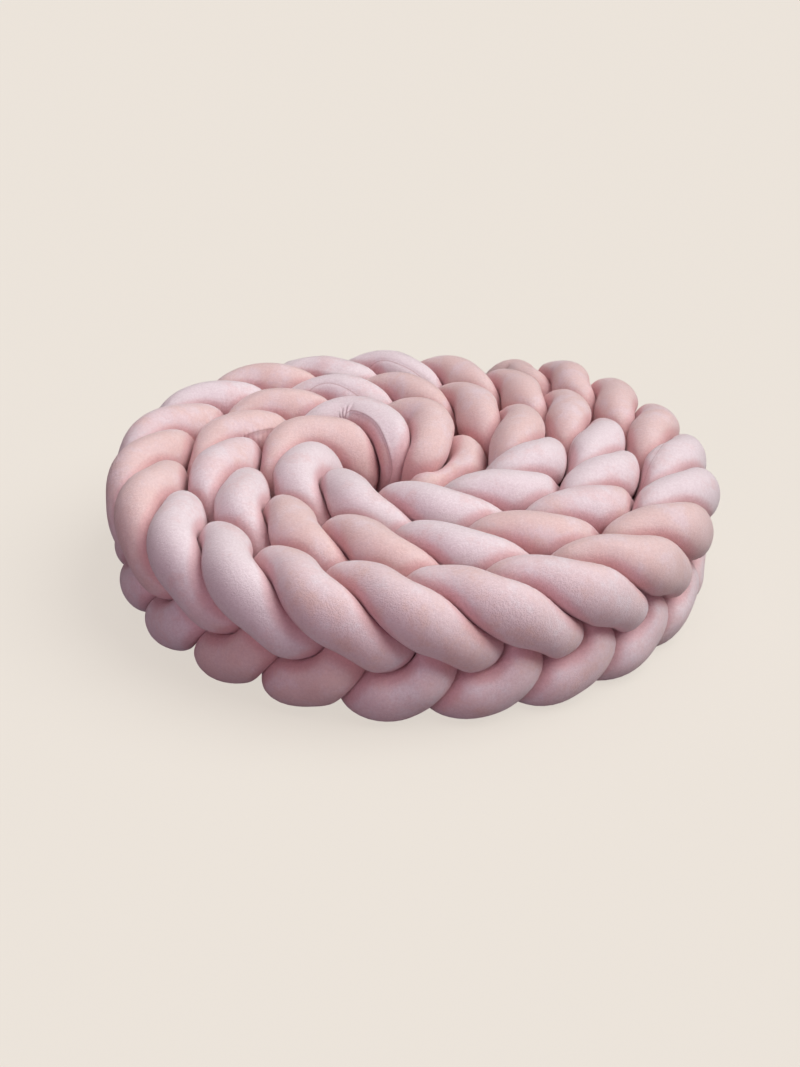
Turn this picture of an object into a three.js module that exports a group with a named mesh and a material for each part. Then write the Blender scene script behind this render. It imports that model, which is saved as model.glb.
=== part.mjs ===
// A crib bumper: three stuffed velvet tubes plaited into one flat braid, which stands on its long edge and is
// coiled into a flat spiral. Millimetres, +Z up, with the surface it lies on at z = 0.
import * as THREE from "three";

// Tubes
const TUBE_RADIUS = 29; // of a stuffed tube where nothing presses on it
const FLATTENING = 0.82; // a tube's thickness across the braid, as a share of its height
const CLEARANCE = 6.8; // left between two tubes that press on each other, so that flat facets stay apart
const PRESS_SHARPNESS = 8; // higher values turn the edge of a pressed patch more sharply
const FOLD_SHARE = 0.9; // how far a section reaches towards the fold on the inner side of a bend

// Braid
const LOOP_PITCH = 74; // along the braid, from one top loop to the next
const RISE = 32; // middle of a tube above the braid's middle at a top loop, on the rim of the coil
const FALL = 51; // middle of a tube below the braid's middle at a lower loop
const SWAY = 18; // middle of a tube out of the braid's middle surface where it crosses a face
const SWAY_DELAY = THREE.MathUtils.degToRad(20); // how much later a falling tube leaves the outer face
const SWAY_SHARPNESS = 0.5; // higher values make a tube change faces more suddenly
const LEAN = 0.085; // how far the braid leans outwards for each millimetre of height
const LAG = { top: 0.51, low: 0.1 }; // how far loops shift along the braid for each millimetre up or down
// Stretches of a tube's round, in degrees from its top, that are moved inwards along the braid
const SLIPS = [
  { from: 180, to: 300, by: -22 },
  { from: 240, to: 360, by: 16 },
];
const FLOOR_PRESS = 6; // how much of a tube the surface under it presses flat

// Coil, with loops counted from the outer end inwards
const OUTER_RADIUS = 289; // middle of the braid at its outer end
const TURN_PITCH = 71.7; // across the coil, from one turn to the next
const OUTER_END_ANGLE = THREE.MathUtils.degToRad(67);
const CROWN = 18; // how much higher the top loops stand in the middle of the coil than on the rim
const EYE_REACH = 34; // from the middle of the coil to the tubes that close its eye
const EYE_LOOPS = { open: 43, closed: 46 }; // stretch over which the braid's inner side closes on the eye
const OUTER_SINK = { from: 1.1, to: -0.9, share: 0.2 }; // loops on which the top sinks, and what is left of it
const INNER_SINK = { from: 45.6, to: 47.4, share: 0.1 }; // the same at the inner end, which sinks into the eye
const OUTER_TUCK = { from: 1.5, bend: 0.15 }; // loop from which the outer end is pushed together, and how much

// Loop numbers at which each tube ends, in the eye and on the rim
const STRANDS = [
  { name: "strand_1", eyeEnd: 48.9, rimEnd: -0.9 },
  { name: "strand_2", eyeEnd: 49, rimEnd: -0.3 },
  { name: "strand_3", eyeEnd: 48.95, rimEnd: -0.7 },
];
const CAP_LOOPS = 0.3; // rounded closed end of a tube

// Cloth
const VELVET = { color: 0xdcb4ae, roughness: 0.9, metalness: 0 };

// Facets
const SIDES = 10;
const SECTIONS_PER_LOOP = { eye: 9, coil: 5.5 };
const CAP_ANGLES = [20, 45, 70].map(THREE.MathUtils.degToRad);
const NEIGHBOURS_PER_LOOP = 18; // points on a middle line that stand for a neighbouring tube
const OWN_LOOPS = 1; // stretch of its own tube that a section takes no notice of
const SMALL_STEP = 0.01; // in loops, for the direction of a middle line

// Angle and radius of the braid's middle line at a loop number: a spiral with turns at an even pitch.
function middleLine(loop) {
  const radius = Math.sqrt(OUTER_RADIUS ** 2 - (TURN_PITCH * LOOP_PITCH * loop) / Math.PI);
  return { angle: OUTER_END_ANGLE - (2 * Math.PI * (OUTER_RADIUS - radius)) / TURN_PITCH, radius };
}

// Share of the braid's height that is left at a loop number on the way into one of its ends.
function sunkShare({ from, to, share }, loop) {
  const way = THREE.MathUtils.clamp((loop - from) / (to - from), 0, 1);
  return THREE.MathUtils.lerp(1, share, THREE.MathUtils.smoothstep(way, 0, 1));
}

// Height of a top loop over the braid's middle: more in the middle of the coil, less towards both ends.
function riseAt(loop) {
  const rise = RISE + CROWN * (1 - middleLine(loop).radius / OUTER_RADIUS);
  return rise * sunkShare(OUTER_SINK, loop) * sunkShare(INNER_SINK, loop);
}

// How far a tube sways to the inner side of the braid: as far as the eye where the coil closes.
function innerSwayAt(loop) {
  const closing = THREE.MathUtils.smoothstep(loop, EYE_LOOPS.open, EYE_LOOPS.closed);
  return THREE.MathUtils.lerp(SWAY, middleLine(loop).radius - EYE_REACH, closing);
}

// A smooth swing between two reaches: +up where the value is 1, -down where it is -1 and 0 where it is 0.
function wave(value, up, down) {
  return ((up + down) / 2) * value + ((up - down) / 2) * value ** 2;
}

// How far a tube is moved inwards along the braid at a phase of its round.
function slipAt(phase) {
  const degrees = THREE.MathUtils.radToDeg(phase);
  return SLIPS.reduce((sum, { from, to, by }) => {
    const way = THREE.MathUtils.clamp((degrees - from) / (to - from), 0, 1);
    return sum + by * Math.sin(Math.PI * way) ** 2;
  }, 0);
}

// Middle of one tube at a loop number. The tube goes round a figure of eight once in every three loops.
function tubeMiddle(index, loop) {
  const round = THREE.MathUtils.euclideanModulo(-loop - index, STRANDS.length) / STRANDS.length;
  const phase = 2 * Math.PI * round;
  const rise = riseAt(loop);
  const height = wave(Math.cos(phase), rise, FALL);
  const swing = Math.sin(2 * (phase - SWAY_DELAY * Math.sin(phase)));
  const sharpSwing = swing + SWAY_SHARPNESS * (swing - swing ** 3);
  const sway = wave(sharpSwing, SWAY, innerSwayAt(loop));
  const lag = wave(Math.cos(phase), LAG.top * rise, LAG.low * FALL) + slipAt(phase);
  const tuck = OUTER_TUCK.bend * Math.max(OUTER_TUCK.from - loop, 0) ** 2;
  const { angle, radius } = middleLine(loop + tuck + lag / LOOP_PITCH);
  const out = radius + sway + LEAN * (height - RISE);
  return new THREE.Vector3(
    out * Math.cos(angle),
    out * Math.sin(angle),
    FALL + TUBE_RADIUS - FLOOR_PRESS + height,
  );
}

// Direction of one tube at a loop number, from the eye to the rim.
function tubeDirection(index, loop) {
  return tubeMiddle(index, loop - SMALL_STEP).sub(tubeMiddle(index, loop + SMALL_STEP)).normalize();
}

// Even steps between two loop numbers.
function loopSteps(from, to, perLoop) {
  const count = Math.round((from - to) * perLoop);
  return Array.from({ length: count + 1 }, (_, i) => THREE.MathUtils.lerp(from, to, i / count));
}

// Loop numbers of one tube's sections, from the eye to the rim, each with its share of the full section.
function stations({ eyeEnd, rimEnd }) {
  const cap = CAP_ANGLES.map((angle) => ({
    loops: CAP_LOOPS * (1 - Math.cos(angle)),
    share: Math.sin(angle),
  }));
  const inEye = loopSteps(eyeEnd - CAP_LOOPS, EYE_LOOPS.open, SECTIONS_PER_LOOP.eye);
  const inCoil = loopSteps(EYE_LOOPS.open, rimEnd + CAP_LOOPS, SECTIONS_PER_LOOP.coil);
  const body = [...inEye, ...inCoil.slice(1)];
  return [
    ...cap.map(({ loops, share }) => ({ loop: eyeEnd - loops, share })),
    ...body.map((loop) => ({ loop, share: 1 })),
    ...cap.map(({ loops, share }) => ({ loop: rimEnd + loops, share })).reverse(),
  ];
}

// Sections of one tube: the middle and direction of each, and two directions across it. The first of these
// follows the direction out of the coil.
function tubeSections(strand, index) {
  const across = new THREE.Vector3();
  return stations(strand).map(({ loop, share }) => {
    const middle = tubeMiddle(index, loop);
    const along = tubeDirection(index, loop);
    const outwards = new THREE.Vector3(middle.x, middle.y, 0).normalize();
    across.add(outwards);
    across.addScaledVector(along, -across.dot(along)).normalize();
    return {
      index,
      loop,
      share,
      middle,
      along,
      outwards,
      across: across.clone(),
      beside: across.clone().cross(along),
    };
  });
}

// Points that stand for all tubes.
const NEIGHBOURS = STRANDS.flatMap(({ eyeEnd, rimEnd }, index) =>
  loopSteps(eyeEnd, rimEnd, NEIGHBOURS_PER_LOOP).map((loop) => ({
    index,
    loop,
    middle: tubeMiddle(index, loop),
  })),
);

// Offsets from a section to the neighbours that press on it.
function pressingOffsets({ index, loop, middle }) {
  return NEIGHBOURS.filter((other) => other.index !== index || Math.abs(other.loop - loop) > OWN_LOOPS)
    .map((other) => other.middle.clone().sub(middle))
    .filter((offset) => offset.length() < 2 * TUBE_RADIUS + CLEARANCE);
}

// Reach of a ray from a section's middle: the free tube, pressed flat halfway to each neighbour and on the
// floor, and folded where it meets the sections before and after it.
function reach({ middle, outwards, share }, ray, offsets, adjoining) {
  const thin = ray.dot(outwards);
  const free = (share * TUBE_RADIUS) / Math.hypot(thin / FLATTENING, Math.sqrt(1 - thin ** 2));
  let limit = Infinity;
  for (const offset of offsets) {
    const towards = ray.dot(offset);
    if (towards <= 0) continue;
    const distance = offset.length();
    limit = Math.min(limit, ((distance - CLEARANCE) * distance) / 2 / towards);
  }
  for (const other of adjoining) {
    const fold = other.middle.clone().sub(middle).dot(other.along) / ray.dot(other.along);
    if (fold > 0) limit = Math.min(limit, FOLD_SHARE * fold);
  }
  const pressed = (free ** -PRESS_SHARPNESS + limit ** -PRESS_SHARPNESS) ** (-1 / PRESS_SHARPNESS);
  return ray.z < 0 ? Math.min(pressed, middle.z / -ray.z) : pressed;
}

// Corners of one section, each at the reach of its own ray.
function sectionCorners(section, adjoining) {
  const offsets = pressingOffsets(section);
  return Array.from({ length: SIDES }, (_, side) => {
    const turn = (2 * Math.PI * side) / SIDES;
    const ray = new THREE.Vector3()
      .addScaledVector(section.across, Math.cos(turn))
      .addScaledVector(section.beside, Math.sin(turn));
    return section.middle.clone().addScaledVector(ray, reach(section, ray, offsets, adjoining));
  });
}

// Closed skin over rings of corners, with a point at each end.
function skin(rings, startPoint, endPoint) {
  const corners = [...rings.flat(), startPoint, endPoint];
  const start = corners.length - 2;
  const end = corners.length - 1;
  const lastRing = (rings.length - 1) * SIDES;
  const faces = [];
  for (let side = 0; side < SIDES; side++) {
    const next = (side + 1) % SIDES;
    faces.push(start, side, next, end, lastRing + next, lastRing + side);
    for (let ring = 0; ring < lastRing; ring += SIDES) {
      const ahead = ring + SIDES;
      faces.push(ring + side, ahead + side, ahead + next, ring + side, ahead + next, ring + next);
    }
  }
  const geometry = new THREE.BufferGeometry().setFromPoints(corners);
  geometry.setIndex(faces);
  geometry.computeVertexNormals();
  return geometry;
}

function tubeMesh(strand, index) {
  const sections = tubeSections(strand, index);
  const rings = sections.map((section, i) =>
    sectionCorners(section, [...sections.slice(Math.max(i - 1, 0), i), ...sections.slice(i + 1, i + 2)]),
  );
  const geometry = skin(rings, tubeMiddle(index, strand.eyeEnd), tubeMiddle(index, strand.rimEnd));
  const mesh = new THREE.Mesh(geometry, new THREE.MeshStandardMaterial(VELVET));
  mesh.name = strand.name;
  return mesh;
}

const bumper = new THREE.Group();
bumper.name = "braided_bumper";
bumper.add(...STRANDS.map(tubeMesh));

// The middle of the whole coil, seen from above, is put on the Z axis.
const middle = new THREE.Box3().setFromObject(bumper).getCenter(new THREE.Vector3());
for (const mesh of bumper.children) mesh.geometry.translate(-middle.x, -middle.y, 0);

export default bumper;
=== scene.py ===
"""Dresses the braided crib bumper: a fine velvet skin for each of its three stuffed strands, a pale floor,
soft studio light and the photograph's camera. The braid's own sizes are in millimetres, as in the solids'
source."""
import math

import bpy
import numpy as np
from mathutils import Matrix, Vector


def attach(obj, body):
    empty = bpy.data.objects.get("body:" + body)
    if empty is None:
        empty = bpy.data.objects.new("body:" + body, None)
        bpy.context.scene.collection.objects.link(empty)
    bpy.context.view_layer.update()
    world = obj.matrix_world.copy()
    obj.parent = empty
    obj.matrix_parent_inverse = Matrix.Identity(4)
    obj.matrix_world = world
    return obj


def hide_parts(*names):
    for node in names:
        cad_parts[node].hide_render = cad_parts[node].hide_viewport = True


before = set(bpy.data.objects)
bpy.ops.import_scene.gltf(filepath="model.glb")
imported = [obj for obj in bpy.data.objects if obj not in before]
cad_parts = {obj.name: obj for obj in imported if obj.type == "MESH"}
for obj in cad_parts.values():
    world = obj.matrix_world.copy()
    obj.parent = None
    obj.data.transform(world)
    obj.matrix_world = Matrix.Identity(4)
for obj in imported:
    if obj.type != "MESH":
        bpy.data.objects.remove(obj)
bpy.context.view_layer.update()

MM = 0.001
FAR = 1e3
TINY = 1e-6

# Tubes
TUBE_RADIUS = 29.0
FLATTENING = 0.82  # share of the thickness that is left across the braid
GAP = 0.8  # between two tubes that press on each other
PRESS_SHARPNESS = 7.0
FLOOR_SHARPNESS = 14.0
FOLD_SHARE = 0.92  # of the reach at which the inner side of a bend would fold over

# Braid
LOOP_PITCH = 74.0
RISE = 32.0  # of a tube's middle over the braid's own, at an upper loop
FALL = 51.0  # the same downwards, at a lower loop
SWAY = 18.0  # to either face of the braid
SWAY_DELAY = math.radians(20)
SWAY_SHARPNESS = 0.5
LEAN = 0.085
LAG = {"top": 0.51, "low": 0.1}
SLIPS = [{"from": 180, "to": 300, "by": -22.0}, {"from": 240, "to": 360, "by": 16.0}]
FLOOR_PRESS = 6.0
MIDDLE_HEIGHT = FALL + TUBE_RADIUS - FLOOR_PRESS

# Coil, with loops counted from the outer end inwards
OUTER_RADIUS = 289.0
TURN_PITCH = 71.7
OUTER_END_ANGLE = math.radians(67)
CROWN = 18.0
EYE_REACH = 34.0
EYE_LOOPS = {"open": 43.0, "closed": 46.0}
OUTER_SINK = {"from": 1.1, "to": -0.9, "share": 0.2}
INNER_SINK = {"from": 45.6, "to": 47.4, "share": 0.1}
OUTER_TUCK = {"from": 1.5, "bend": 0.15}
EYE_SETTLING = {"from": 47.4, "to": 48.4, "by": 13.0}  # of the soft ends, which the solids leave higher
COIL_SHIFT = np.array([-17.9, -1.49, 0.0])  # puts the coil's box over the origin

# Loop numbers at which each tube ends, in the eye and on the rim
STRANDS = [
    {"name": "strand_1", "eye_end": 48.9, "rim_end": -0.9},
    {"name": "strand_2", "eye_end": 49.0, "rim_end": -0.3},
    {"name": "strand_3", "eye_end": 48.95, "rim_end": -0.7},
]

# Lengthwise seam of each tube: loop numbers and where it lies there, in degrees round the tube from its
# outer side
SEAMS = [
    [(23.4, 250), (23.9, 132), (24.2, 140), (24.4, 160), (24.9, 250), (32.3, 250), (32.9, 150),
     (33.25, 150), (33.7, 250), (44.3, 240), (44.7, 160), (44.85, 152), (45.0, 158), (45.1, 166),
     (45.22, 170), (45.35, 180), (45.47, 197), (45.6, 215), (46, 250)],
    [(19.2, 250), (19.8, 130), (20.1, 125), (20.4, 130), (20.9, 250), (34.2, 250), (34.7, 114), (34.87, 120),
     (34.97, 126), (35.1, 137), (35.25, 150), (35.8, 250)],
    [(3.4, 250), (3.95, 118), (4.25, 118), (4.45, 126), (4.9, 250)],
]
SEAM_DEPTH = 0.8
SEAM_WIDTH = 2.4
SEAM_EVENNESS = 9  # sections over which a seam's turns are evened out
SEAM_CLOSENESS = 0.3  # draws the skin's points together at the seam

# Folded edges of the hand-sewn closings, and cloth that is drawn up along the seam, between loop numbers and
# degrees from the seam
FLAPS = [
    {"strand": 0, "from": 45.02, "to": 45.7, "depth": 1.2, "reach": 26.0},
    {"strand": 0, "from": 32.85, "to": 33.4, "depth": 1.6, "reach": 14.0},
]
FLAP_SOFTNESS = 0.06
FLAP_LIP = 0.7
FLAP_WARMTH = 0.7  # share by which the cloth under a folded edge takes the warm flat colour: painted shade under the fold
GATHERS = [
    {"strand": 0, "from": 44.78, "to": 44.97, "turns": (-14, 20), "pitch": 6.4, "height": 1.9},
    {"strand": 0, "from": 32.93, "to": 33.32, "turns": (-2, 70), "pitch": 4.4, "height": 1.1},
]
GATHER_STEP = 1.1  # between sections of the skin there
GATHER_SOFTNESS = 0.03
GATHER_FADE = 9
GATHER_SINK = 0.6

# Unevenness of the filling
LUMP_SEED = 5
LUMPS = 14
LUMP_HEIGHT = 0.55
LUMP_LENGTHS = (38.0, 130.0)
LUMP_ROUNDS = 4  # a wave turns fewer times than this round the tube

# Swelling of the cloth over its filling
PLUMP_FRAMES = 8
PLUMP_PRESSURE = 500.0
PLUMP_LIMIT = 2.2
CLOTH_MASS = 0.003
CLOTH_STIFFNESS = 3.0
CLOTH_BENDING = 0.5
CLOTH_EASE = 0.01  # share by which the cloth is wider than the form
CLOTH_STEPS = 3
HELD_FROM = 0.85  # how sheltered cloth is that its neighbours hold

# Fineness of the skins
SIDES = 56
RING_STEP = 3.95
CAP_LENGTH = 26.0
CAP_RINGS = 9
PATH_POINTS = 6000
FINE_STATIONS = 40000
DIRECTION_STEP = 0.004  # in loop numbers
OUTWARD_PULL = 0.15  # keeps the sections from turning along the tube
NEIGHBOURS_PER_LOOP = 24
NEIGHBOUR_REACH = 80.0
SHELTER = {"touching": 27.0, "open": 50.0}  # distances of the skin from a neighbour's middle
OWN_LOOPS = 1.0  # beyond which a tube's own loops count as neighbours
SMOOTHING_PASSES = 2

# Velvet: loops of flat pile that show warm with painted shade, and loops of brushed-back pile that show pale
# with painted highlight; lower loops have half numbers
FLAT_SHADED_LOOPS = [
    0, 1, 2, 3, 6, 7, 11.5, 12.5, 14, 15, 18, 21, 22, 23, 27, 29, 30, 33, 34, 36, 37, 38, 44, 46, 47,
]
BRUSHED_LIT_LOOPS = [4, 5, 12, 13, 13.5, 14.5, 17, 19, 20, 24, 25, 28, 31, 35, 39, 40, 41, 42, 43, 45]
RAISED_LIE = 0.5  # between 0, flat with painted shade, and 1, brushed back with painted highlight
LIE_CHANGE = (0.35, 0.65)  # on the way from one loop to the next
# pile colours of the loops: flat and warm with painted shade, raised, brushed back and pale with painted
# highlight
PILE_FLAT_SHADED = (0.845, 0.61, 0.58)
PILE_RAISED = (0.865, 0.675, 0.69)
PILE_BRUSHED_LIT = (0.89, 0.77, 0.8)
# painted shade: darker, redder cloth deep in the creases between the tubes
PILE_CREASE_SHADE = (0.74, 0.36, 0.37)
# a dark seam line, with painted shade in the seam's groove
PILE_DARK_SEAM_AND_SHADE = (0.55, 0.32, 0.32)
PILE_TIPS = (0.88, 0.84, 0.85)
# how much painted crease shade there is, and from how deep between the tubes it starts
CREASE_SHADE_SHARE = 0.52
CREASE_SHADE_FROM = 0.5
# width and strength of the dark seam line, partly painted shade in the seam's groove
SEAM_LINE = 1.1
SEAM_SHADE = 0.5
NAP_PATCHES = {"size": 45.0, "detail": 7, "roughness": 0.72, "spread": (0.3, 0.7)}
NAP_UNEVENNESS = 0.5
STREAKS = {"size": 22.0, "detail": 6, "roughness": 0.75, "spread": (0.35, 0.65)}
STREAK_SHARE = 0.25
FINE_PILE = {"size": 2.4, "detail": 4, "roughness": 0.8, "spread": (0.3, 0.7)}
PILE_SHADE = 0.95
PILE_BUMP = 0.45
PILE_DEPTH = 0.8
PILE_ROUGHNESS = 0.55
PILE_GLOSS = 0.25
SHEEN = 0.4
SHEEN_SOFTNESS = 0.45
SHEEN_COLOUR = (1.0, 0.86, 0.9)

# Light
ROOM_LIGHT = {"colour": (1.0, 0.67, 0.7), "strength": 0.095}
LAMPS = [
    {"name": "right_key", "from": (0.6, 0.0, 0.8), "width": 50,
     "strength": 2.64, "colour": (0.96, 1.0, 0.98)},
    {"name": "overhead", "from": (0.1, 0.3, 0.95), "width": 60,
     "strength": 0.75, "colour": (0.96, 1.0, 0.98)},
    {"name": "front_fill", "from": (-0.25, -0.95, 0.12), "width": 70,
     "strength": 1.2, "colour": (1.0, 0.73, 0.93)},
]
FLOOR_HALF = 9.0  # metres
FLOOR_COLOUR = (0.83, 0.77, 0.70)
FLOOR_ROUGHNESS = 1.0
FLOOR_GLOSS = 0.0
FLOOR_GLOW = 0.8  # share of the floor's brightness that no shadow takes, except under the coil
UNDER_COIL = (0.12, 0.26)  # metres from the middle over which the glow comes in

# Camera, from the places of the loops in the photograph
PHOTO_SIZE = (800, 1067)
PHOTO_FOCAL = 1544.0  # in pixels
SENSOR = 36.0
CAMERA_DISTANCE = 1544.0
CAMERA_ELEVATION = math.radians(27.05)
CAMERA_ROLL = math.radians(1.8)
CAMERA_REACH = 50  # metres
COIL_PIXEL = (395.8, 498.6)  # where the middle of the coil shows


def smoothstep(value, low, high):
    share = np.clip((value - low) / (high - low), 0, 1)
    return share * share * (3 - 2 * share)


def mix(a, b, share):
    return a + (b - a) * share


def wave(value, up, down):
    """A smooth swing: +up where the value is 1, -down where it is -1 and 0 where it is 0."""
    return (up + down) / 2 * value + (up - down) / 2 * value**2


def middle_line(loop):
    """Radius and angle of the braid's middle at a loop number."""
    radius = np.sqrt(np.maximum(OUTER_RADIUS**2 - TURN_PITCH * LOOP_PITCH * loop / math.pi, 1.0))
    return radius, OUTER_END_ANGLE - 2 * math.pi * (OUTER_RADIUS - radius) / TURN_PITCH


def sunk_share(sink, loop):
    """Share of the braid's height that is left on the way into one of its ends."""
    way = (loop - sink["from"]) / (sink["to"] - sink["from"])
    return mix(1, sink["share"], smoothstep(way, 0, 1))


def tube_middle(index, loop):
    """Middle of one tube at loop numbers, in the coil's own frame."""
    radius, _ = middle_line(loop)
    rise = RISE + CROWN * (1 - radius / OUTER_RADIUS)
    rise = rise * sunk_share(OUTER_SINK, loop) * sunk_share(INNER_SINK, loop)
    closing = smoothstep(loop, EYE_LOOPS["open"], EYE_LOOPS["closed"])
    phase = 2 * math.pi * np.mod(-loop - index, len(STRANDS)) / len(STRANDS)
    height = wave(np.cos(phase), rise, FALL)
    height = height - EYE_SETTLING["by"] * smoothstep(loop, EYE_SETTLING["from"], EYE_SETTLING["to"])
    swing = np.sin(2 * (phase - SWAY_DELAY * np.sin(phase)))
    swing = swing + SWAY_SHARPNESS * (swing - swing**3)
    sway = wave(swing, SWAY, mix(SWAY, radius - EYE_REACH, closing))
    lag = wave(np.cos(phase), LAG["top"] * rise, LAG["low"] * FALL)
    for slip in SLIPS:
        way = np.clip((np.degrees(phase) - slip["from"]) / (slip["to"] - slip["from"]), 0, 1)
        lag = lag + slip["by"] * np.sin(math.pi * way) ** 2
    tuck = OUTER_TUCK["bend"] * np.maximum(OUTER_TUCK["from"] - loop, 0) ** 2
    radius, angle = middle_line(loop + tuck + lag / LOOP_PITCH)
    out = radius + sway + LEAN * (height - RISE)
    return np.stack([out * np.cos(angle), out * np.sin(angle), MIDDLE_HEIGHT + height], axis=-1)


def unit(vectors):
    return vectors / np.linalg.norm(vectors, axis=-1, keepdims=True)


def tube_stations(index):
    """Loop numbers, lengths along the tube and shares of the full section, from the eye to the rim."""
    strand = STRANDS[index]
    dense = np.linspace(strand["eye_end"], strand["rim_end"], PATH_POINTS)
    steps = np.linalg.norm(np.diff(tube_middle(index, dense), axis=0), axis=1)
    lengths = np.concatenate([[0], np.cumsum(steps)])
    total = lengths[-1]
    turns = np.linspace(0, math.pi / 2, CAP_RINGS + 1)[1:]
    cap = CAP_LENGTH * (1 - np.cos(turns))
    body = np.linspace(CAP_LENGTH, total - CAP_LENGTH, FINE_STATIONS)
    body_loops = np.interp(body, lengths, dense)
    steps = np.full(FINE_STATIONS, RING_STEP)
    for gather in GATHERS:
        if gather["strand"] == index:
            steps[(body_loops > gather["from"]) & (body_loops < gather["to"])] = GATHER_STEP
    counts = np.concatenate([[0], np.cumsum(np.diff(body) / steps[1:])])
    count = 2 * round(counts[-1] / 2)
    body = np.interp(np.arange(1, count) * counts[-1] / count, counts, body)
    places = np.concatenate([cap, body, total - cap[::-1]])
    to_end = np.minimum(np.minimum(places, total - places) / CAP_LENGTH, 1)
    return np.interp(places, lengths, dense), places, np.sqrt(1 - (1 - to_end) ** 2)


def seam_turns(index, loops):
    """Angle of a tube's seam at each section."""
    rows = np.array(SEAMS[index], float)
    turns = np.radians(np.interp(loops, rows[:, 0], rows[:, 1]))
    weights = np.hanning(2 * SEAM_EVENNESS + 3)[1:-1]
    padded = np.pad(turns, SEAM_EVENNESS, mode="edge")
    return np.convolve(padded, weights / weights.sum(), mode="valid")


def tube_frames(index, loops):
    """Middle of each section, its direction, the direction out of the coil and two directions across it."""
    middles = tube_middle(index, loops)
    along = unit(tube_middle(index, loops - DIRECTION_STEP) - tube_middle(index, loops + DIRECTION_STEP))
    outwards = unit(middles * [1, 1, 0])
    across = np.zeros_like(middles)
    turned = outwards[0]
    for i in range(len(loops)):
        turned = turned + OUTWARD_PULL * outwards[i]
        turned = unit(turned - along[i] * (turned @ along[i]))
        across[i] = turned
    return middles, along, outwards, across, np.cross(across, along)


def neighbours(index, loops, middles):
    """For each section, the offsets to the points of other tubes' middles, and of its own other loops, that
    lie within reach."""
    points, owners, places = [], [], []
    for other, strand in enumerate(STRANDS):
        count = round((strand["eye_end"] - strand["rim_end"]) * NEIGHBOURS_PER_LOOP)
        steps = np.linspace(strand["eye_end"], strand["rim_end"], count)
        points.append(tube_middle(other, steps))
        owners.append(np.full(count, other))
        places.append(steps)
    points = np.concatenate(points)
    owners = np.concatenate(owners)
    places = np.concatenate(places)
    found = []
    for loop, middle in zip(loops, middles):
        offsets = points - middle
        near = np.linalg.norm(offsets, axis=1) < NEIGHBOUR_REACH
        near &= (owners != index) | (np.abs(places - loop) > OWN_LOOPS)
        found.append(offsets[near])
    return found


def pressed_reach(found, shares, middles, along, outwards, rays):
    """Reach of every ray: the free tube, pressed flat halfway to its neighbours and on the floor, and kept
    from folding over on the inner side of a bend."""
    thin = np.einsum("nsk,nk->ns", rays, outwards)
    free = shares[:, None] * TUBE_RADIUS / np.hypot(thin / FLATTENING, np.sqrt(np.maximum(1 - thin**2, 0)))
    limit = np.full(free.shape, FAR)
    for i, offsets in enumerate(found):
        distances = np.linalg.norm(offsets, axis=1)
        towards = rays[i] @ offsets.T
        halfway = (distances - GAP) * distances / 2
        if halfway.size:
            limit[i] = np.min(np.where(towards > TINY, halfway / np.maximum(towards, TINY), FAR), axis=1)
    for shift in (-1, 1):
        to_next = np.roll(middles, -shift, axis=0) - middles
        next_along = np.roll(along, -shift, axis=0)
        ahead = np.einsum("nk,nk->n", to_next, next_along)[:, None]
        closing = np.einsum("nsk,nk->ns", rays, next_along)
        fold = np.where(np.abs(closing) > TINY, ahead / np.where(closing == 0, 1, closing), FAR)
        fold[0 if shift == -1 else -1] = FAR
        limit = np.minimum(limit, np.where(fold > 0, FOLD_SHARE * fold, FAR))
    reach = (free**-PRESS_SHARPNESS + limit**-PRESS_SHARPNESS) ** (-1 / PRESS_SHARPNESS)
    down = np.maximum(-rays[..., 2], TINY)
    floor = middles[:, None, 2] / down
    return (reach**-FLOOR_SHARPNESS + floor**-FLOOR_SHARPNESS) ** (-1 / FLOOR_SHARPNESS)


def sheltered_share(found, rays, reach):
    """How deep every point of a skin lies between the tubes: 0 in the open, 1 where a neighbour touches."""
    depth = np.zeros(reach.shape)
    for i, offsets in enumerate(found):
        if len(offsets):
            corners = rays[i] * reach[i][:, None]
            apart = np.linalg.norm(corners[:, None] - offsets[None], axis=2).min(axis=1)
            depth[i] = 1 - smoothstep(apart, SHELTER["touching"], SHELTER["open"])
    return depth


def smoothed(values):
    """Values blurred a little along and around the tube."""
    for _ in range(SMOOTHING_PASSES):
        values = (np.roll(values, 1, axis=1) + 2 * values + np.roll(values, -1, axis=1)) / 4
        inner = (values[:-2] + 2 * values[1:-1] + values[2:]) / 4
        values = np.concatenate([values[:1], inner, values[-1:]])
    return values


def window(value, low, high, soft):
    """1 between low and high, falling softly to 0 beyond them."""
    return smoothstep(value, low - soft, low) * (1 - smoothstep(value, high, high + soft))


def under_flap(index, loops, apart):
    """Share and depth of the cloth that lies under a folded edge, and share of the edge itself."""
    under = np.zeros(apart.shape)
    depth = np.zeros(apart.shape)
    edge = np.zeros(apart.shape)
    for flap in FLAPS:
        if flap["strand"] == index:
            share = window(loops, flap["from"], flap["to"], FLAP_SOFTNESS)[:, None]
            below = share * np.where(apart > 0, np.exp(-((apart / flap["reach"]) ** 2)), 0)
            under = np.maximum(under, below)
            depth = np.maximum(depth, flap["depth"] * below)
            edge = np.maximum(edge, share * (apart <= 0))
    return under, depth, edge


def sewn_relief(index, loops, places, from_seam, apart):
    """Height that sewing adds to the skin: the seam's groove, folded edges and drawn-up cloth."""
    groove = np.exp(-((apart / SEAM_WIDTH) ** 2))
    _, depth, edge = under_flap(index, loops, apart)
    relief = SEAM_DEPTH * groove * (edge * (1 + FLAP_LIP) - 1) - depth
    for gather in GATHERS:
        if gather["strand"] == index:
            share = window(loops, gather["from"], gather["to"], GATHER_SOFTNESS)[:, None]
            turned = np.degrees(from_seam)
            share = share * window(turned, *gather["turns"], GATHER_FADE)
            folds = np.abs(np.sin(math.pi * places / gather["pitch"]))[:, None]
            relief = relief + share * gather["height"] * (folds - GATHER_SINK)
    return relief


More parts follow.
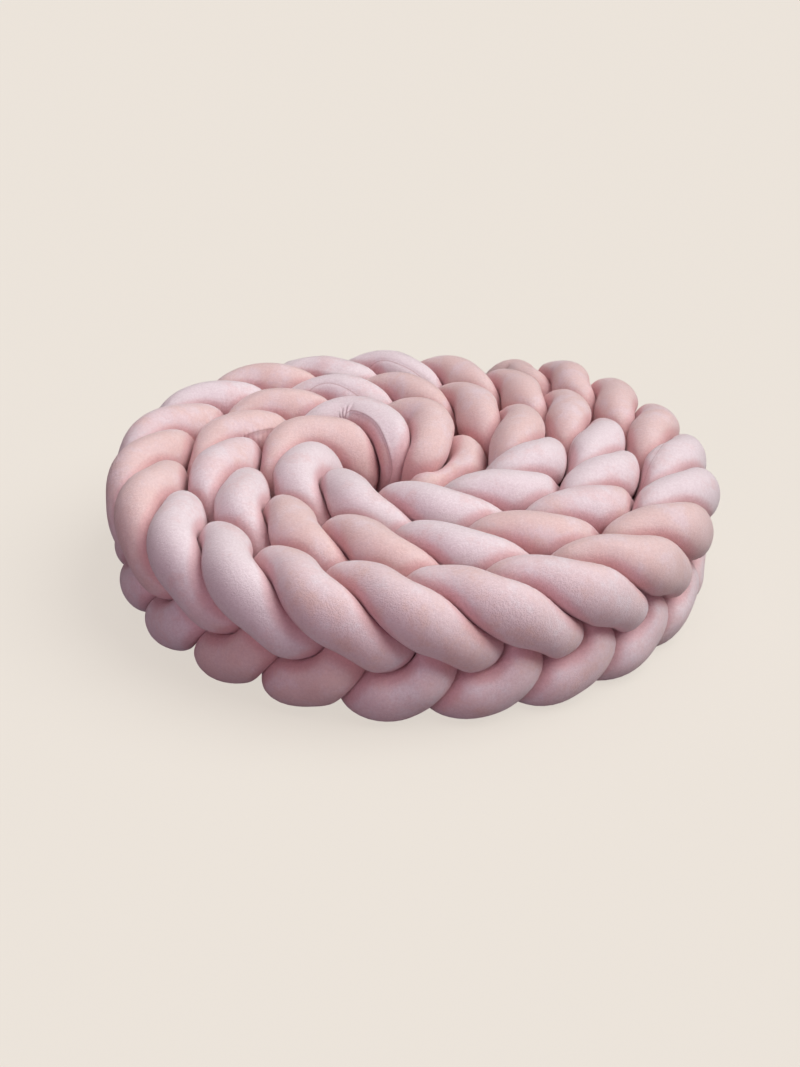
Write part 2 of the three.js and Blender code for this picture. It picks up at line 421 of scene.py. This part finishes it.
def stuffing_lumps(index, places, turns):
    """Low unevenness of the loose filling, as a few slow waves along and round the tube."""
    draw = np.random.default_rng(LUMP_SEED + index)
    relief = np.zeros(turns.shape)
    for _ in range(LUMPS):
        length = draw.uniform(*LUMP_LENGTHS)
        rounds = draw.integers(0, LUMP_ROUNDS)
        start = draw.uniform(0, 2 * math.pi)
        relief += np.cos(2 * math.pi * places[:, None] / length + rounds * turns + start)
    return LUMP_HEIGHT * relief / math.sqrt(LUMPS / 2)


def loop_lie_and_light(numbers):
    """Lie of whole loops: 0 flat, warm, painted shade; 1 brushed back, pale, painted highlight."""
    return (1 + np.isin(numbers, BRUSHED_LIT_LOOPS) - np.isin(numbers, FLAT_SHADED_LOOPS)) / 2


def pile_lie_and_light(index, loops):
    """How the pile lies along a strand, with the loops' painted shade and highlight, changing from each
    upper loop to the next lower one and back.
    """
    apart = len(STRANDS) / 2
    whole = np.floor((loops + index) / apart)
    way = (loops + index) / apart - whole
    before = loop_lie_and_light(apart * whole - index)
    after = loop_lie_and_light(apart * (whole + 1) - index)
    return mix(before, after, smoothstep(way, *LIE_CHANGE))


def tube_form(index):
    """One strand's skin as rings of corners, with the directions and values that later steps need."""
    strand = STRANDS[index]
    loops, places, shares = tube_stations(index)
    middles, along, outwards, across, beside = tube_frames(index, loops)
    steps = 2 * math.pi * np.arange(SIDES) / SIDES
    from_seam = steps - SEAM_CLOSENESS * np.sin(steps)
    from_seam = np.where(steps > math.pi, from_seam - 2 * math.pi, from_seam)
    turns = seam_turns(index, loops)[:, None] + from_seam
    rays = across[:, None] * np.cos(turns)[..., None] + beside[:, None] * np.sin(turns)[..., None]
    found = neighbours(index, loops, middles)
    reach = smoothed(pressed_reach(found, shares, middles, along, outwards, rays))
    return {
        "name": strand["name"],
        "loops": loops,
        "places": places,
        "rays": rays,
        "turns": turns,
        "from_seam": np.broadcast_to(from_seam, turns.shape),
        "reach": reach,
        "sheltered": sheltered_share(found, rays, reach),
        "lie_and_light": np.broadcast_to(pile_lie_and_light(index, loops)[:, None], turns.shape),
        "corners": middles[:, None] + rays * reach[..., None] + COIL_SHIFT,
        "tips": tube_middle(index, np.array([strand["eye_end"], strand["rim_end"]])) + COIL_SHIFT,
    }


def tube_object(name, corners, tips):
    """A closed tube through rings of corners."""
    rings, sides, _ = corners.shape
    points = np.concatenate([corners.reshape(-1, 3), tips])
    ring, side = np.meshgrid(np.arange(rings - 1), np.arange(sides), indexing="ij")
    here = ring * sides + side
    beside = ring * sides + (side + 1) % sides
    faces = np.stack([here, here + sides, beside + sides, beside], -1).reshape(-1, 4).tolist()
    start, end = rings * sides, rings * sides + 1
    last = (rings - 1) * sides
    for turn in range(sides):
        beyond = (turn + 1) % sides
        faces.append((start, turn, beyond))
        faces.append((end, last + beyond, last + turn))
    mesh = bpy.data.meshes.new(name)
    mesh.from_pydata((points * MM).tolist(), [], faces)
    mesh.polygons.foreach_set("use_smooth", [True] * len(mesh.polygons))
    mesh.update()
    tube = bpy.data.objects.new(name, mesh)
    bpy.context.scene.collection.objects.link(tube)
    return tube


def finer(values):
    """Values of every second ring and side brought to all rings and sides."""
    rings = np.zeros((2 * len(values) - 1, *values.shape[1:]))
    rings[::2] = values
    rings[1::2] = (values[:-1] + values[1:]) / 2
    sides = np.zeros((rings.shape[0], 2 * rings.shape[1], *rings.shape[2:]))
    sides[:, ::2] = rings
    sides[:, 1::2] = (rings + np.roll(rings, -1, axis=1)) / 2
    return sides


def plump_up(forms):
    """Lets the filling push the cloth of all strands out by simulation, on every second ring and side."""
    scene = bpy.context.scene
    covers = []
    for form in forms:
        cover = tube_object(form["name"] + "_cover", form["corners"][::2, ::2], form["tips"])
        held = cover.vertex_groups.new(name="held")
        firm = np.append(form["sheltered"][::2, ::2].reshape(-1) > HELD_FROM, [True, True])
        held.add(np.flatnonzero(firm).tolist(), 1.0, "REPLACE")
        cloth = cover.modifiers.new("filling", "CLOTH")
        cloth.settings.vertex_group_mass = "held"
        cloth.settings.use_pressure = True
        cloth.settings.uniform_pressure_force = PLUMP_PRESSURE
        cloth.settings.effector_weights.gravity = 0
        cloth.settings.mass = CLOTH_MASS
        cloth.settings.tension_stiffness = CLOTH_STIFFNESS
        cloth.settings.compression_stiffness = CLOTH_STIFFNESS
        cloth.settings.bending_stiffness = CLOTH_BENDING
        cloth.settings.shrink_min = -CLOTH_EASE
        cloth.settings.quality = CLOTH_STEPS
        cloth.collision_settings.use_collision = False
        cloth.point_cache.frame_end = PLUMP_FRAMES
        covers.append(cover)
    for number in range(1, PLUMP_FRAMES + 1):
        scene.frame_set(number)
    for form, cover in zip(forms, covers):
        coarse = form["corners"][::2, ::2]
        swollen = cover.evaluated_get(bpy.context.evaluated_depsgraph_get()).to_mesh()
        points = np.zeros(3 * len(swollen.vertices), np.float32)
        swollen.vertices.foreach_get("co", points)
        moves = points.reshape(-1, 3)[:-2].reshape(coarse.shape) / MM - coarse
        lengths = np.linalg.norm(moves, axis=-1, keepdims=True)
        moves = moves * np.minimum(1, PLUMP_LIMIT / np.maximum(lengths, TINY))
        form["corners"] = form["corners"] + finer(moves)
        bpy.data.objects.remove(cover)
    scene.frame_set(1)


def strand_skin(index, form):
    """One strand's velvet skin: its form with the sewing and the filling's lumps, as a mesh object."""
    apart = form["reach"] * form["from_seam"]
    relief = sewn_relief(index, form["loops"], form["places"], form["from_seam"], apart)
    relief += stuffing_lumps(index, form["places"], form["turns"]) * (1 - form["sheltered"])
    corners = form["corners"] + form["rays"] * relief[..., None]
    corners[..., 2] = np.maximum(corners[..., 2], 0)
    skin = tube_object(form["name"] + "_velvet", corners, form["tips"])
    # painted shade under the folded edges: the cloth there takes the warm flat colour
    under, _, _ = under_flap(index, form["loops"], apart)
    lie_and_light = form["lie_and_light"] * (1 - FLAP_WARMTH * under)
    carried = [
        ("sheltered", form["sheltered"], 1),
        ("from_seam", np.abs(apart), SEAM_WIDTH),
        ("lie_and_light", lie_and_light, 0),
    ]
    for name, values, tip in carried:
        attribute = skin.data.attributes.new(name, "FLOAT", "POINT")
        attribute.data.foreach_set("value", np.append(values.reshape(-1), [tip, tip]).astype(np.float32))
    return skin


def linked(tree, source, target):
    """Joins an output to an input of a node tree."""
    tree.links.new(source, target)


def spread(tree, value, low, high, least=0.0, most=1.0):
    """A value from low to high stretched to least to most, with soft ends."""
    node = tree.nodes.new("ShaderNodeMapRange")
    node.interpolation_type = "SMOOTHSTEP"
    node.inputs["From Min"].default_value = low
    node.inputs["From Max"].default_value = high
    node.inputs["To Min"].default_value = least
    node.inputs["To Max"].default_value = most
    linked(tree, value, node.inputs["Value"])
    return node.outputs["Result"]


def unevenness(tree, place, kind, least=0.0, most=1.0):
    """Soft noise over the cloth, from least to most, with features of the kind's size."""
    texture = tree.nodes.new("ShaderNodeTexNoise")
    texture.inputs["Scale"].default_value = 1 / (kind["size"] * MM)
    texture.inputs["Detail"].default_value = kind["detail"]
    texture.inputs["Roughness"].default_value = kind["roughness"]
    linked(tree, place, texture.inputs["Vector"])
    return spread(tree, texture.outputs["Fac"], *kind["spread"], least, most)


def combined(tree, way, first, second):
    """Two values worked into one."""
    node = tree.nodes.new("ShaderNodeMath")
    node.operation = way
    for socket, value in zip(node.inputs, (first, second)):
        if isinstance(value, float):
            socket.default_value = value
        else:
            linked(tree, value, socket)
    return node.outputs[0]


def blended(tree, share, first, second, way="MIX"):
    """Two colours blended by a share."""
    node = tree.nodes.new("ShaderNodeMix")
    node.data_type = "RGBA"
    node.blend_type = way
    for name, value in (("Factor_Float", share), ("A_Color", first), ("B_Color", second)):
        socket = next(each for each in node.inputs if each.identifier == name)
        if isinstance(value, tuple):
            socket.default_value = (*value, 1)
        else:
            linked(tree, value, socket)
    return next(each for each in node.outputs if each.identifier == "Result_Color")


def cloth_value(tree, name):
    """A value that the skin's points carry."""
    node = tree.nodes.new("ShaderNodeAttribute")
    node.attribute_name = name
    return node.outputs["Fac"]


def velvet():
    """Dusty pink short-pile velvet: brushed patches, painted highlight and shade on the loops, painted
    redder shade in the creases and along the seams, fine pile and a soft sheen.
    """
    material = bpy.data.materials.new("dusty_pink_velvet")
    material.use_nodes = True
    tree = material.node_tree
    shader = tree.nodes["Principled BSDF"]
    place = tree.nodes.new("ShaderNodeTexCoord").outputs["Object"]

    patches = unevenness(tree, place, NAP_PATCHES, -NAP_UNEVENNESS, NAP_UNEVENNESS)
    lie_and_light = combined(tree, "ADD", cloth_value(tree, "lie_and_light"), patches)
    # painted light on whole loops: pale brushed loops carry painted highlight, warm flat ones painted shade
    colour = blended(tree, spread(tree, lie_and_light, 0, RAISED_LIE), PILE_FLAT_SHADED, PILE_RAISED)
    colour = blended(tree, spread(tree, lie_and_light, RAISED_LIE, 1), colour, PILE_BRUSHED_LIT)
    streaks = combined(tree, "MULTIPLY", unevenness(tree, place, STREAKS), STREAK_SHARE)
    colour = blended(tree, streaks, colour, PILE_BRUSHED_LIT)
    # painted shade: the cloth deep between the tubes turns darker and redder
    crease_shade = spread(tree, cloth_value(tree, "sheltered"), CREASE_SHADE_FROM, 1, 0, CREASE_SHADE_SHARE)
    colour = blended(tree, crease_shade, colour, PILE_CREASE_SHADE)
    # a dark seam line, with painted shade in its groove and under the folded edges
    seam_line_and_shade = spread(tree, cloth_value(tree, "from_seam"), SEAM_LINE, 0, 0, SEAM_SHADE)
    colour = blended(tree, seam_line_and_shade, colour, PILE_DARK_SEAM_AND_SHADE)
    pile = unevenness(tree, place, FINE_PILE)
    colour = blended(tree, combined(tree, "MULTIPLY", pile, PILE_SHADE), colour, PILE_TIPS, "MULTIPLY")
    linked(tree, colour, shader.inputs["Base Color"])

    bump = tree.nodes.new("ShaderNodeBump")
    bump.inputs["Strength"].default_value = PILE_BUMP
    bump.inputs["Distance"].default_value = PILE_DEPTH * MM
    linked(tree, pile, bump.inputs["Height"])
    linked(tree, bump.outputs["Normal"], shader.inputs["Normal"])

    shader.inputs["Roughness"].default_value = PILE_ROUGHNESS
    shader.inputs["Specular IOR Level"].default_value = PILE_GLOSS
    shader.inputs["Sheen Weight"].default_value = SHEEN
    shader.inputs["Sheen Roughness"].default_value = SHEEN_SOFTNESS
    shader.inputs["Sheen Tint"].default_value = (*SHEEN_COLOUR, 1)
    return material


def pale_floor():
    """A wide plain floor under the coil, which keeps some of its brightness in the coil's shadow."""
    corners = [(FLOOR_HALF * x, FLOOR_HALF * y, 0) for x, y in ((-1, -1), (1, -1), (1, 1), (-1, 1))]
    mesh = bpy.data.meshes.new("floor")
    mesh.from_pydata(corners, [], [(0, 1, 2, 3)])
    floor = bpy.data.objects.new("floor", mesh)
    bpy.context.scene.collection.objects.link(floor)
    material = bpy.data.materials.new("pale_floor")
    material.use_nodes = True
    tree = material.node_tree
    shader = tree.nodes["Principled BSDF"]
    shader.inputs["Base Color"].default_value = (*[(1 - FLOOR_GLOW) * part for part in FLOOR_COLOUR], 1)
    shader.inputs["Roughness"].default_value = FLOOR_ROUGHNESS
    shader.inputs["Specular IOR Level"].default_value = FLOOR_GLOSS
    shader.inputs["Emission Color"].default_value = (*FLOOR_COLOUR, 1)
    seen = tree.nodes.new("ShaderNodeLightPath").outputs["Is Camera Ray"]
    from_middle = tree.nodes.new("ShaderNodeVectorMath")
    from_middle.operation = "LENGTH"
    linked(tree, tree.nodes.new("ShaderNodeTexCoord").outputs["Object"], from_middle.inputs[0])
    open_floor = spread(tree, from_middle.outputs["Value"], *UNDER_COIL, 0, FLOOR_GLOW)
    linked(tree, combined(tree, "MULTIPLY", seen, open_floor), shader.inputs["Emission Strength"])
    mesh.materials.append(material)


def studio_light():
    """A weak rosy room, a wide lamp from the upper right, one overhead and a fill low in front. Past the
    floor the camera sees the floor's own colour."""
    world = bpy.data.worlds.new("studio")
    bpy.context.scene.world = world
    world.use_nodes = True
    tree = world.node_tree
    room = tree.nodes["Background"]
    room.inputs["Color"].default_value = (*ROOM_LIGHT["colour"], 1)
    room.inputs["Strength"].default_value = ROOM_LIGHT["strength"]
    backdrop = tree.nodes.new("ShaderNodeBackground")
    backdrop.inputs["Color"].default_value = (*FLOOR_COLOUR, 1)
    seen = tree.nodes.new("ShaderNodeLightPath").outputs["Is Camera Ray"]
    either = tree.nodes.new("ShaderNodeMixShader")
    linked(tree, seen, either.inputs[0])
    linked(tree, room.outputs[0], either.inputs[1])
    linked(tree, backdrop.outputs[0], either.inputs[2])
    linked(tree, either.outputs[0], tree.nodes["World Output"].inputs["Surface"])
    for each in LAMPS:
        lamp = bpy.data.lights.new(each["name"], "SUN")
        lamp.energy = each["strength"]
        lamp.angle = math.radians(each["width"])
        lamp.color = each["colour"]
        holder = bpy.data.objects.new(each["name"], lamp)
        bpy.context.scene.collection.objects.link(holder)
        holder.rotation_euler = Vector(each["from"]).to_track_quat("Z", "Y").to_euler()


def photo_camera():
    """The camera, turned so that the middle of the coil shows where the photograph has it."""
    data = bpy.data.cameras.new("photo")
    data.sensor_width = SENSOR
    data.lens = PHOTO_FOCAL * SENSOR / max(PHOTO_SIZE)
    data.clip_end = CAMERA_REACH
    forward = Vector((0, math.cos(CAMERA_ELEVATION), -math.sin(CAMERA_ELEVATION)))
    level = Vector((1, 0, 0))
    upright = level.cross(forward)
    right = level * math.cos(CAMERA_ROLL) + upright * math.sin(CAMERA_ROLL)
    up = upright * math.cos(CAMERA_ROLL) - level * math.sin(CAMERA_ROLL)
    target = Vector((COIL_SHIFT + [0, 0, MIDDLE_HEIGHT]).tolist()) * MM
    place = target - forward * CAMERA_DISTANCE * MM
    left_of_centre = PHOTO_SIZE[0] / 2 - COIL_PIXEL[0]
    above_centre = PHOTO_SIZE[1] / 2 - COIL_PIXEL[1]
    aim = (forward + right * left_of_centre / PHOTO_FOCAL - up * above_centre / PHOTO_FOCAL).normalized()
    sideways = aim.cross(up).normalized()
    top = sideways.cross(aim)
    turn = Matrix((sideways, top, -aim)).transposed().to_4x4()
    camera = bpy.data.objects.new("photo", data)
    bpy.context.scene.collection.objects.link(camera)
    camera.matrix_world = Matrix.Translation(place) @ turn
    bpy.context.scene.camera = camera


photo_camera()
pale_floor()
studio_light()
cloth = velvet()
forms = [tube_form(number) for number in range(len(STRANDS))]
plump_up(forms)
for number, each in enumerate(STRANDS):
    piece = strand_skin(number, forms[number])
    piece.data.materials.append(cloth)
    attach(piece, "root")
    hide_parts(each["name"])

bpy.context.scene.view_settings.view_transform = "Standard"
